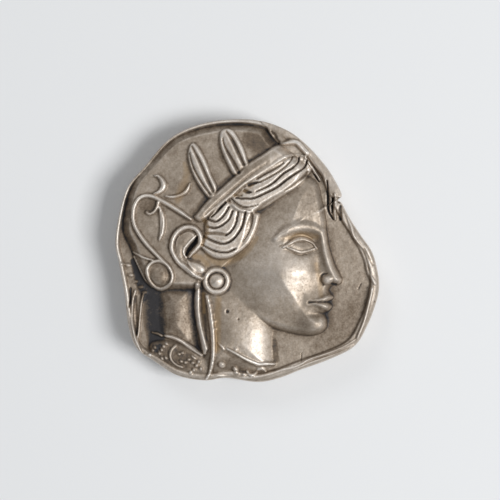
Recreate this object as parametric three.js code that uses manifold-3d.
// A silver tetradrachm of the Athenian kind: one thick, uneven blank of silver, struck between two dies.
// It lies on its reverse. The obverse, facing up, has a helmeted head in high relief, looking towards +X.
// The reverse, underneath, has a plain owl with an olive spray in a sunken square.
// Millimetres, +Z up. The origin is on the resting plane, under the middle of the coin's bounding box.

import * as THREE from "three";
import { mergeVertices } from "three/addons/utils/BufferGeometryUtils.js";
import Module from "manifold-3d";

const wasm = await Module();
wasm.setup();

// ---------------------------------------------------------------- driving sizes

const FIELD = 3.0; // height of the ground that the head stands on
const WAIST = 1.7; // height at which the edge of the blank is widest
const LIP_RISE = 0.6; // how far the lip round the obverse stands over the field
const FOOT_INSET = 1.25; // from the outline to the flat border that the coin rests on

const HELMET_RISE = 1.35; // over the field, as the next four are
const FACE_RISE = 1.75;
const NECK_RISE = 1.1;
const GUARD_RISE = 0.9;
const CREST_RISE = 0.6;
const ROOT = 1.4; // the level inside the blank that every form of the obverse stands up from
const SINK = 0.03; // keeps the foot of a raised form just under the surface that carries it

// The face follows the canon of three equal parts: hairline to brow, brow to nose, nose to chin.
const HAIRLINE = 6.4;
const CHIN = -7.8;
const THIRD = (HAIRLINE - CHIN) / 3;
const BROW = HAIRLINE - THIRD;
const NOSE = BROW - THIRD;
const MOUTH = NOSE - THIRD / 3;
const EYE = BROW - THIRD / 5;
const FRONT = 7.3; // how far forward the face reaches, apart from the nose

const SQUARE = 14.2; // side of the sunken square of the reverse
const SQUARE_DEPTH = 0.6;
const OWL_RISE = 0.3; // over the floor of the square

// ---------------------------------------------------------------- solids and outlines

const { clamp, degToRad, lerp, smoothstep } = THREE.MathUtils;

const curveThrough = (points, closed = false) =>
  new THREE.CatmullRomCurve3(points.map(([x, y]) => new THREE.Vector3(x, y, 0)), closed);

// A solid for joining and cutting, from any closed geometry. Vertices closer than weld become one.
function solid(geometry, weld = 1e-4) {
  geometry.deleteAttribute("normal");
  geometry.deleteAttribute("uv");
  const merged = mergeVertices(geometry, weld);
  const corners = Array.from(merged.index.array);
  const kept = [];
  for (let i = 0; i < corners.length; i += 3) {
    const [a, b, c] = corners.slice(i, i + 3);
    if (a !== b && b !== c && c !== a) kept.push(a, b, c);
  }
  return new wasm.Manifold(
    new wasm.Mesh({
      numProp: 3,
      vertProperties: merged.attributes.position.array,
      triVerts: new Uint32Array(kept),
    }),
  );
}

// A closed outline whose every point is seen from its centre. Its share() is 0 at the centre and 1 on
// the outline, and its inset() is the distance in from the outline.
function outlineOf(points, centre) {
  const clockwise = THREE.ShapeUtils.area(points.map(([x, y]) => ({ x, y }))) < 0;
  const curve = curveThrough(clockwise ? [...points].reverse() : points, true);
  const seen = curve
    .getPoints(points.length * 8)
    .slice(0, -1)
    .map((p) => {
      const [dx, dy] = [p.x - centre[0], p.y - centre[1]];
      return { angle: Math.atan2(dy, dx), reach: Math.hypot(dx, dy) };
    })
    .sort((a, b) => a.angle - b.angle);
  const turn = 2 * Math.PI;
  const ring = [
    { ...seen.at(-1), angle: seen.at(-1).angle - turn },
    ...seen,
    { ...seen[0], angle: seen[0].angle + turn },
  ];
  const reach = (x, y) => {
    const angle = Math.atan2(y - centre[1], x - centre[0]);
    const after = ring.findIndex((r) => r.angle >= angle);
    const [a, b] = [ring[after - 1], ring[after]];
    return lerp(a.reach, b.reach, (angle - a.angle) / (b.angle - a.angle));
  };
  const distance = (x, y) => Math.hypot(x - centre[0], y - centre[1]);
  return {
    curve,
    centre,
    segments: points.length * 2,
    share: (x, y) => distance(x, y) / reach(x, y),
    inset: (x, y) => reach(x, y) - distance(x, y),
  };
}

// A solid of revolution whose rings follow an outline instead of a circle. place(ring, x, y) gives, for
// the point x, y of the outline, how far out the ring runs as a share, its inset from there and its height.
function turned(outline, ringCount, place) {
  const profile = Array.from({ length: ringCount }, (_, i) => new THREE.Vector2(1, i));
  const geometry = new THREE.LatheGeometry(profile, outline.segments);
  const position = geometry.attributes.position;
  const [cx, cy] = outline.centre;
  for (let i = 0; i <= outline.segments; i++) {
    const edge = outline.curve.getPoint((i % outline.segments) / outline.segments);
    const [dx, dy] = [edge.x - cx, edge.y - cy];
    for (let ring = 0; ring < ringCount; ring++) {
      const { share, inset = 0, height } = place(ring, edge.x, edge.y);
      const out = share && share - inset / Math.hypot(dx, dy);
      const [x, y] = [cx + dx * out, cy + dy * out];
      position.setXYZ(i * ringCount + ring, x, y, height(x, y));
    }
  }
  return solid(geometry);
}

// ---------------------------------------------------------------- the blank

// Its outline, clockwise from the right, with the split in its edge in front of the brow.
const blank = outlineOf(
  [
    [11.5, 0], [12.0, -1.6], [12.2, -3.2], [11.9, -4.8], [11.1, -6.9], [9.9, -8.8], [7.6, -10.0],
    [5.0, -10.95], [2.9, -11.75], [0.9, -12.1], [-1.9, -11.72], [-3.9, -11.95], [-6.4, -11.5],
    [-8.6, -10.15], [-10.2, -8.95], [-10.95, -6.9], [-11.3, -4.0], [-11.8, -1.2], [-12.15, 0.7],
    [-11.8, 3.3], [-11.0, 5.9], [-9.4, 7.8], [-7.3, 10.2], [-4.9, 11.5], [-2.0, 12.1], [1.0, 12.05],
    [3.6, 11.2], [5.5, 9.8], [7.3, 7.8], [8.4, 6.0], [8.75, 5.1], [8.4, 4.7], [8.75, 4.4],
    [9.45, 3.1], [10.5, 1.45],
  ],
  [0, 0],
);

// The lip is thin and near the edge at the upper left, and broad at the lower right and over the brow.
function lipAt(x, y) {
  const angle = Math.atan2(y, x);
  const broad = 0.5 - 0.5 * Math.cos(angle - degToRad(140));
  const overBrow = Math.exp(-(((angle - degToRad(55)) / degToRad(25)) ** 2));
  return {
    crest: 0.35 + 0.55 * broad + 0.25 * overBrow,
    slope: 0.8 - 0.3 * broad + 0.3 * overBrow,
    top: FIELD + LIP_RISE * (1 - 0.1 * broad + 0.6 * overBrow),
  };
}

function blankTop(x, y) {
  const { crest, slope, top } = lipAt(x, y);
  return lerp(top, FIELD, smoothstep(blank.inset(x, y), crest, crest + slope));
}

const flan = turned(blank, 10, (ring, x, y) => {
  const { crest, slope, top } = lipAt(x, y);
  const [inset, z] = [
    [0, 0],
    [FOOT_INSET, 0],
    [0.55, 0.2],
    [0.14, 0.8],
    [0, WAIST],
    [0.35 * crest, top - 0.25],
    [crest, top],
    [crest + slope / 2, lerp(top, FIELD, 0.5)],
    [crest + slope, FIELD],
    [0, FIELD],
  ][ring];
  return { share: ring > 0 && ring < 9 ? 1 : 0, inset, height: () => z };
});

// ---------------------------------------------------------------- what the forms of each side stand on

const OBVERSE = { up: 1, root: ROOT, carriers: [blankTop], forms: [flan] };
const REVERSE = { up: -1, root: SQUARE_DEPTH + 0.5, carriers: [() => -SQUARE_DEPTH], forms: [] };

// The height of a side over a place in plan, counted away from the middle of the coin.
const ground = (side, x, y) => Math.max(...side.carriers.map((height) => height(x, y)));

// Places a point of a unit form: below its middle it goes to the root, and above it rises over the ground.
function raise(side, position, i, x, y, up) {
  const level = ground(side, x, y) - SINK + up;
  position.setXYZ(i, x, y, up < 0 ? side.root : side.up * level);
}

// A cushion of the obverse: steep at its outline and rounded on top, with swell(x, y) added to its height.
function cushion({ centre, rise, points, swell = () => 0, shares = [0.97, 0.91, 0.8, 0.62, 0.38, 0] }) {
  const outline = outlineOf(points, centre);
  const height = (x, y) => {
    const crown = Math.sqrt(Math.max(0, 1 - outline.share(x, y) ** 4));
    return FIELD + (rise + swell(x, y)) * crown;
  };
  OBVERSE.forms.push(
    turned(outline, shares.length + 3, (ring) => {
      if (ring < 2) return { share: ring, height: () => ROOT };
      if (ring === 2) return { share: 1, height: () => FIELD };
      return { share: shares[ring - 3], height };
    }),
  );
  OBVERSE.carriers.push(height);
}

// A smooth rise or hollow of the given size round a place.
const hill = (x, y, [cx, cy], [rx, ry]) => Math.exp(-(((x - cx) / rx) ** 2) - ((y - cy) / ry) ** 2);

const roundedEnds = (along) => 0.35 + 0.65 * Math.sqrt(Math.sin(Math.PI * clamp(along, 0.02, 0.98)));
const pointedEnd = (along) => 0.2 + 0.8 * Math.sqrt(1 - along ** 3);
const evenly = () => 1;

// A round-topped bar along a line in plan. taper gives its share of full size from one end to the other.
function bar(side, points, width, rise, { steps = points.length, taper = roundedEnds } = {}) {
  const curve = curveThrough(points);
  const geometry = new THREE.CylinderGeometry(1, 1, 1, 6, steps);
  const position = geometry.attributes.position;
  for (let i = 0; i < position.count; i++) {
    const along = position.getY(i) + 0.5;
    const size = taper(along);
    const centre = curve.getPoint(along);
    const run = curve.getTangent(along);
    const across = (side.up * position.getX(i) * size * width) / 2;
    const [x, y] = [centre.x + run.y * across, centre.y - run.x * across];
    raise(side, position, i, x, y, position.getZ(i) * rise * size);
  }
  side.forms.push(solid(geometry));
}

// A low oval boss. One that carries others is part of their ground.
function boss(side, [cx, cy], [rx, ry], rise, { around = 8, over = 4, carries = false } = {}) {
  const geometry = new THREE.SphereGeometry(1, around, over);
  geometry.rotateX(Math.PI / 2);
  const position = geometry.attributes.position;
  const foot = ground(side, cx, cy);
  for (let i = 0; i < position.count; i++) {
    const [x, y] = [cx + side.up * position.getX(i) * rx, cy + position.getY(i) * ry];
    raise(side, position, i, x, y, position.getZ(i) * rise);
  }
  side.forms.push(solid(geometry));
  if (carries) {
    const reach = (x, y) => Math.hypot((x - cx) / rx, (y - cy) / ry);
    side.carriers.push((x, y) => foot + rise * Math.sqrt(Math.max(0, 1 - reach(x, y) ** 2)));
  }
}

// ---------------------------------------------------------------- masses of the head

// The bowl of the helmet, and the hair that shows under it.
cushion({
  centre: [-3.6, 4],
  rise: HELMET_RISE,
  points: [
    [-10.9, 3.4], [-10.2, 6.0], [-8.7, 8.2], [-6.2, 9.9], [-3.0, 10.8], [-0.6, 10.7], [1.0, 9.4],
    [4.3, 8.9], [5.6, 7.4], [4.6, 5.4], [1.2, 3.2], [0.3, 0.6], [-1.2, -1.6], [-4.2, -3.6],
    [-7.6, -3.6], [-9.7, -2.0], [-10.6, 0.4],
  ],
});

// The face and jaw. The front is plain and regular: a straight forehead and nose, full lips, a round chin.
cushion({
  centre: [2.6, -1],
  rise: FACE_RISE,
  shares: [0.97, 0.92, 0.84, 0.73, 0.6, 0.42, 0.2, 0],
  swell: (x, y) =>
    0.4 * hill(x, y, [FRONT - 3.9, NOSE + 0.4], [2.3, 2.4]) +
    0.35 * hill(x, y, [FRONT - 1.2, MOUTH - 1.9], [1.0, 0.9]) +
    0.25 * hill(x, y, [FRONT - 0.9, MOUTH], [1.2, 0.9]) -
    0.35 * hill(x, y, [FRONT - 2.0, EYE + 0.2], [1.5, 0.8]),
  points: [
    [FRONT - 0.9, HAIRLINE - 0.2],
    [FRONT - 0.3, BROW + 2.2],
    [FRONT + 0.1, BROW],
    [FRONT + 0.5, EYE - 0.3],
    [FRONT + 1.3, NOSE + 0.8],
    [FRONT + 1.35, NOSE + 0.2],
    [FRONT + 0.25, NOSE - 0.25],
    [FRONT + 0.45, MOUTH + 0.45],
    [FRONT + 0.05, MOUTH],
    [FRONT + 0.3, MOUTH - 0.5],
    [FRONT - 0.25, MOUTH - 1.1],
    [FRONT - 0.05, MOUTH - 2.1],
    [FRONT - 1.3, CHIN],
    [3.6, CHIN], [1.0, -7.0], [-1.6, -5.4], [-3.0, -3.2], [-2.6, 0], [-0.6, 2.8], [1.8, 5.0], [4.6, 6.9],
  ],
});

// The neck, the flap of the helmet behind it, and the patch of the crest under that.
cushion({
  centre: [-1.4, -7],
  rise: NECK_RISE,
  points: [
    [2.3, -7.0], [2.3, -8.8], [3.0, -10.2], [1.6, -11.0], [-1.0, -11.2], [-3.6, -11.2], [-4.5, -8.8],
    [-4.8, -5.0], [-4.4, -2.6], [-1.6, -2.4], [1.6, -4.6],
  ],
});
cushion({
  centre: [-6.2, -5.4],
  rise: GUARD_RISE,
  points: [
    [-5.0, -3.4], [-4.9, -5.6], [-5.3, -7.9], [-7.0, -7.6], [-7.4, -5.6], [-7.2, -3.4], [-6.1, -2.8],
  ],
});
cushion({
  centre: [-5.6, -9.6],
  rise: CREST_RISE,
  points: [
    [-9.0, -8.1], [-6.6, -8.3], [-4.2, -8.9], [-3.0, -10.4], [-4.0, -11.2], [-6.3, -10.8], [-8.6, -9.4],
  ],
});

// ---------------------------------------------------------------- helmet

// The visor, and the bead along its lower edge that turns down at the front.
bar(
  OBVERSE,
  [
    [-4.2, 2.9], [-3.9, 3.7], [-3.0, 4.8], [-1.9, 5.75], [-0.6, 6.7], [0.6, 7.5], [1.8, 8.4], [3.0, 9.1],
    [4.2, 9.4], [5.2, 9.0],
  ],
  1.3,
  0.45,
);
bar(
  OBVERSE,
  [
    [-3.4, 3.1], [-2.9, 3.75], [-2.0, 4.6], [-1.0, 5.3], [0, 6.0], [1.5, 7.2], [3.0, 8.3], [4.0, 8.75],
    [5.0, 8.75], [5.6, 8.3], [6.1, 7.3], [6.6, 6.4],
  ],
  0.42,
  0.55,
);

// Two olive leaves stand on the visor. Each is three lobes side by side.
function leaf([baseX, baseY], [tipX, tipY], width) {
  const [dx, dy] = [tipX - baseX, tipY - baseY];
  const length = Math.hypot(dx, dy);
  const place = (along, aside) => [
    baseX + dx * along - (dy / length) * aside,
    baseY + dy * along + (dx / length) * aside,
  ];
  for (const lobe of [-1, 0, 1]) {
    const spread = (lobe * width) / 3;
    const reach = lobe ? 0.9 : 1;
    const spine = [
      place(0, 0.7 * spread),
      place(0.35 * reach, spread),
      place(0.7 * reach, 0.8 * spread),
      place(reach, 0.15 * spread),
    ];
    bar(OBVERSE, spine, width * 0.42, 0.5, { taper: pointedEnd });
  }
}
leaf([-3.3, 5.1], [-4.95, 9.75], 1.35);
leaf([-0.6, 7.4], [-1.75, 11.1], 1.25);

// The scroll behind the visor: its stem and the ring at its end, then the curl and the leaves.
const STEM = 0.38;
const STEM_RISE = 0.4;
bar(
  OBVERSE,
  [
    [-4.9, 2.8], [-6.6, 3.7], [-8.4, 4.6], [-9.3, 5.1], [-10.0, 4.7], [-10.35, 3.6], [-10.1, 2.2],
    [-9.3, 0.9], [-8.2, -0.2], [-7.1, -1.2], [-6.65, -2.3], [-7.0, -3.1], [-8.0, -3.5], [-8.9, -3.0],
    [-9.25, -2.0], [-8.8, -1.2], [-8.0, -0.95], [-7.2, -1.3],
  ],
  STEM,
  STEM_RISE,
  { steps: 28, taper: evenly },
);
bar(OBVERSE, [[-8.4, 4.5], [-8.25, 4.0], [-8.5, 3.55], [-9.1, 3.4]], STEM, STEM_RISE);
bar(OBVERSE, [[-8.0, 4.1], [-7.65, 3.2], [-7.55, 2.3], [-7.85, 0.9]], 0.55, STEM_RISE);
bar(OBVERSE, [[-8.35, 7.0], [-7.6, 6.5], [-7.3, 6.0], [-7.7, 5.4], [-8.3, 5.2]], 0.5, STEM_RISE);
bar(OBVERSE, [[-7.3, 4.95], [-6.5, 4.9], [-5.8, 5.3], [-5.2, 6.0]], 0.5, STEM_RISE);
bar(OBVERSE, [[-10.4, -0.2], [-9.6, -0.6], [-9.0, -0.8], [-8.3, -0.9]], STEM, STEM_RISE);
bar(OBVERSE, [[-10.3, -0.5], [-9.9, -1.5], [-9.3, -2.6], [-8.4, -3.5]], STEM, STEM_RISE);
boss(OBVERSE, [-8.0, -2.2], [0.85, 0.85], 0.35, { around: 10 });

// ---------------------------------------------------------------- hair

const LOCK_RISE = 0.55;

// The locks over the forehead, from the lowest up to the one tucked under the visor.
for (const lock of [
  [[5.7, 6.9], [4.9, 6.15], [3.6, 5.25], [2.2, 4.5], [1.0, 3.9], [0, 3.75], [-0.9, 4.05], [-1.5, 4.75]],
  [[5.3, 7.5], [4.5, 6.65], [3.3, 5.7], [2.1, 5.05], [1.0, 4.5], [0.1, 4.35], [-0.6, 4.5], [-1.1, 4.95]],
  [[5.0, 8.0], [4.1, 7.1], [3.0, 6.2], [2.0, 5.7], [1.0, 5.2], [0.2, 5.0], [-0.5, 5.15]],
  [[4.5, 8.3], [3.6, 7.5], [2.6, 6.7], [1.6, 6.25], [0.8, 5.85]],
  [[4.0, 8.55], [3.3, 7.8], [2.4, 7.1], [1.4, 6.65], [0.5, 6.25]],
])
  bar(OBVERSE, lock, 0.64, LOCK_RISE);

// The locks that swing back over the temple, from the smallest out.
[
  [[-1.9, 4.1], [-2.3, 3.5], [-2.9, 3.05], [-3.4, 3.1]],
  [[-1.4, 3.9], [-1.8, 3.0], [-2.4, 2.5], [-3.2, 2.3], [-3.9, 2.4]],
  [[-0.9, 3.5], [-1.2, 2.6], [-1.7, 2.0], [-2.6, 1.75], [-3.6, 1.85]],
  [[-0.3, 3.5], [-0.6, 2.5], [-1.0, 1.7], [-1.7, 1.1], [-2.6, 0.98], [-3.6, 1.25]],
  [[0.4, 3.4], [0.2, 2.3], [-0.3, 1.3], [-1.0, 0.5], [-1.9, 0.25], [-2.9, 0.28], [-3.8, 0.7]],
  [[1.2, 3.4], [0.9, 2.3], [0.4, 1.1], [-0.2, 0.2], [-1.1, -0.45], [-2.1, -0.6], [-3.1, -0.45], [-3.9, 0]],
].forEach((lock, i) => bar(OBVERSE, lock, 0.5 + 0.055 * i, LOCK_RISE));

// ---------------------------------------------------------------- ear and earring

bar(
  OBVERSE,
  [
    [-4.2, 0.1], [-3.95, 1.0], [-4.25, 1.95], [-5.0, 2.35], [-5.9, 2.1], [-6.6, 1.4], [-6.85, 0.3],
    [-6.6, -0.8], [-6.0, -1.6], [-5.2, -2.2], [-4.3, -2.65],
  ],
  0.6,
  0.6,
);
bar(OBVERSE, [[-5.9, 1.4], [-6.3, 0.6], [-6.25, -0.4], [-5.7, -1.3], [-4.9, -1.95]], 0.35, 0.35);
bar(
  OBVERSE,
  [[-4.6, 1.5], [-5.3, 0.7], [-5.7, -0.1], [-5.4, -0.75], [-4.6, -1.05], [-3.9, -1.5]],
  0.45,
  0.45,
);
boss(OBVERSE, [-4.35, -1.85], [0.6, 0.5], 0.45);

// The earring is a disc with a raised rim and a boss.
const EARRING = [-2.75, -2.75];
const EARRING_RADIUS = 1.25;
const earringFoot = ground(OBVERSE, ...EARRING);
const earringProfile = [
  [1, 0],
  [0.94, 0.4],
  [0.78, 0.45],
  [0.66, 0.2],
  [0.52, 0.35],
  [0.3, 0.55],
  [0, 0.62],
].map(([share, z]) => new THREE.Vector2(share * EARRING_RADIUS, earringFoot + z));
const earring = new THREE.LatheGeometry(
  [new THREE.Vector2(0, ROOT), new THREE.Vector2(EARRING_RADIUS, ROOT), ...earringProfile],
  16,
);
earring.rotateX(Math.PI / 2);
earring.translate(...EARRING, 0);
OBVERSE.forms.push(solid(earring));

// ---------------------------------------------------------------- face

// Brow, eye and lids.
const EYE_BACK = FRONT - 3.2;
const EYE_FRONT = FRONT - 0.9;
bar(
  OBVERSE,
  [[FRONT, BROW + 0.1], [FRONT - 1.4, BROW + 0.45], [FRONT - 3.0, BROW + 0.3], [FRONT - 4.2, BROW - 0.3]],
  0.6,
  0.3,
);
boss(OBVERSE, [(EYE_BACK + EYE_FRONT) / 2 + 0.1, EYE], [1.0, 0.5], 0.4, { around: 10 });
for (const lid of [0.55, -0.45])
  bar(
    OBVERSE,
    [
      [EYE_FRONT, EYE - 0.1],
      [EYE_FRONT - 0.6, EYE + lid],
      [EYE_BACK + 0.9, EYE + lid],
      [EYE_BACK, EYE - 0.05],
    ],
    0.28,
    0.4,
  );

// Nose and its wing, and the lips.
bar(
  OBVERSE,
  [[FRONT, BROW - 0.3], [FRONT + 0.3, EYE - 0.6], [FRONT + 0.65, NOSE + 1.4], [FRONT + 0.85, NOSE + 0.5]],
  0.95,
  0.5,
  { taper: (along) => 0.55 + 0.45 * along },
);
boss(OBVERSE, [FRONT + 0.15, NOSE + 0.35], [0.5, 0.42], 0.45);
for (const lip of [
  [[FRONT + 0.25, MOUTH + 0.35], [FRONT - 0.5, MOUTH + 0.3], [FRONT - 1.5, MOUTH]],
  [[FRONT + 0.15, MOUTH - 0.4], [FRONT - 0.5, MOUTH - 0.35], [FRONT - 1.4, MOUTH - 0.1]],
])
  bar(OBVERSE, lip, 0.5, 0.4);

// ---------------------------------------------------------------- neck and crest

bar(
  OBVERSE,
  [[-4.5, -3.2], [-4.6, -4.5], [-4.45, -6.0], [-4.15, -7.4], [-3.75, -8.8], [-3.9, -9.5]],
  0.5,
  0.5,
);
bar(
  OBVERSE,
  [[-3.9, -9.5], [-4.6, -9.15], [-5.6, -8.65], [-6.6, -7.95], [-7.8, -7.75], [-8.7, -7.45]],
  0.45,
  0.5,
);
bar(
  OBVERSE,
  [[-3.6, -3.9], [-3.3, -5.2], [-3.1, -6.8], [-3.1, -8.6], [-3.2, -10.2], [-3.8, -11.4]],
  0.42,
  0.45,
);

// The line where the neck ends, the beads under it, and the two rows of beads on the crest.
function beads(count, [startX, startY], [stepX, stepY], radius, rise) {
  for (let i = 0; i < count; i++)
    boss(OBVERSE, [startX + stepX * i, startY + stepY * i], [radius, radius], rise, { around: 6 });
}
bar(OBVERSE, [[-2.4, -8.5], [-1.4, -9.2], [-0.2, -10.0], [1.0, -10.4], [2.5, -10.35]], 0.32, 0.35);
beads(3, [-2.25, -10.3], [1.3, -0.33], 0.38, 0.45);
beads(5, [-8.2, -8.6], [0.9, -0.42], 0.3, 0.4);
beads(3, [-7.2, -9.6], [1.0, -0.35], 0.3, 0.35);

// ---------------------------------------------------------------- folds of the edge

const FOLD = 0.35;
for (const fold of [
  [[8.1, 4.6], [8.75, 3.4], [9.5, 2.1], [10.3, 0.4], [10.9, -1.2], [11.35, -3.0]],
  [[11.2, -4.4], [10.9, -6.2], [10.1, -7.9], [8.8, -9.1], [6.6, -9.9], [5.0, -10.3]],
  [[-9.6, -4.1], [-9.8, -5.6], [-9.95, -7.2], [-9.8, -8.8]],
  [[7.5, 5.2], [7.75, 4.2], [8.0, 3.0]],
])
  bar(OBVERSE, fold, 0.42, FOLD);

// ---------------------------------------------------------------- the reverse

// The owl stands with its body in profile and its head turned to the front.
boss(REVERSE, [0.3, -0.6], [2.3, 3.4], OWL_RISE, { around: 12, over: 6, carries: true });
boss(REVERSE, [-0.7, 3.3], [1.8, 1.6], OWL_RISE, { around: 12, over: 6, carries: true });
for (const eye of [-1.5, 0.1]) boss(REVERSE, [eye, 3.5], [0.55, 0.55], 0.2);
bar(REVERSE, [[-0.7, 3.4], [-0.7, 2.5]], 0.4, 0.22, { steps: 2 });
for (let feather = 0; feather < 4; feather++) {
  const shift = 0.75 * feather;
  bar(REVERSE, [[-0.6 + shift, 1.2], [0.4 + shift * 0.8, -1.4], [1.5 + shift * 0.5, -4.1]], 0.5, 0.2);
}
bar(REVERSE, [[1.2, -3.4], [2.1, -4.8], [2.5, -5.9]], 0.9, 0.3);
for (const leg of [-0.9, 0.3]) {
  bar(REVERSE, [[leg, -3.2], [leg - 0.1, -5.2]], 0.4, 0.3, { steps: 2 });
  bar(REVERSE, [[leg + 0.4, -5.4], [leg - 0.9, -5.5]], 0.35, 0.3, { steps: 2 });
}

// An olive spray and a crescent behind the head, and a column of plain strokes in front of the owl.
bar(REVERSE, [[6.2, 6.0], [5.2, 5.3], [4.2, 4.9]], 0.3, 0.3);
bar(REVERSE, [[5.4, 5.2], [4.6, 4.0], [3.9, 3.5]], 0.75, 0.35);
bar(REVERSE, [[5.5, 5.6], [4.4, 6.1], [3.4, 6.1]], 0.75, 0.35);
boss(REVERSE, [3.7, 4.8], [0.42, 0.42], 0.35);
bar(REVERSE, [[3.2, 3.0], [3.7, 2.4], [3.5, 1.6]], 0.4, 0.3);
for (let row = 0; row < 3; row++)
  for (let stroke = 0; stroke < 2; stroke++) {
    const [x, y] = [-4.6 - stroke, 2.6 - 3 * row];
    bar(REVERSE, [[x, y], [x, y - 1.6]], 0.4, 0.3, { steps: 2 });
  }

// ---------------------------------------------------------------- the struck coin

const DRAFT = 0.15; // how far each wall of the square leans in from its mouth to its floor
const square = new THREE.CylinderGeometry(
  (SQUARE + 2 * DRAFT) / Math.SQRT2,
  (SQUARE - 2 * DRAFT) / Math.SQRT2,
  2 * SQUARE_DEPTH,
  4,
);
square.rotateY(Math.PI / 4);
square.rotateX(-Math.PI / 2);
const join = (forms) => forms.reduce((whole, form) => whole.add(form));
const struck = join(OBVERSE.forms).subtract(solid(square).subtract(join(REVERSE.forms)));

function geometryOf(form) {
  const mesh = form.getMesh();
  const geometry = new THREE.BufferGeometry();
  geometry.setAttribute("position", new THREE.BufferAttribute(mesh.vertProperties, 3));
  geometry.setIndex(new THREE.BufferAttribute(mesh.triVerts, 1));
  return geometry;
}

// Where many surfaces cross, slivers and a speck of space inside can be left. Welding closes the slivers,
// and keeping the outer shell alone fills the specks.
const WELD = 0.02;
const [outer] = solid(geometryOf(struck), WELD).decompose().sort((a, b) => b.volume() - a.volume());
const geometry = geometryOf(outer);
geometry.computeBoundingBox();
const middle = geometry.boundingBox.getCenter(new THREE.Vector3());
geometry.translate(-middle.x, -middle.y, -geometry.boundingBox.min.z);
geometry.computeVertexNormals();

const silver = new THREE.MeshStandardMaterial({ color: 0xb3a899, roughness: 0.38, metalness: 1 });
const coin = new THREE.Mesh(geometry, silver);
coin.name = "coin";
const group = new THREE.Group();
group.add(coin);

export default group;
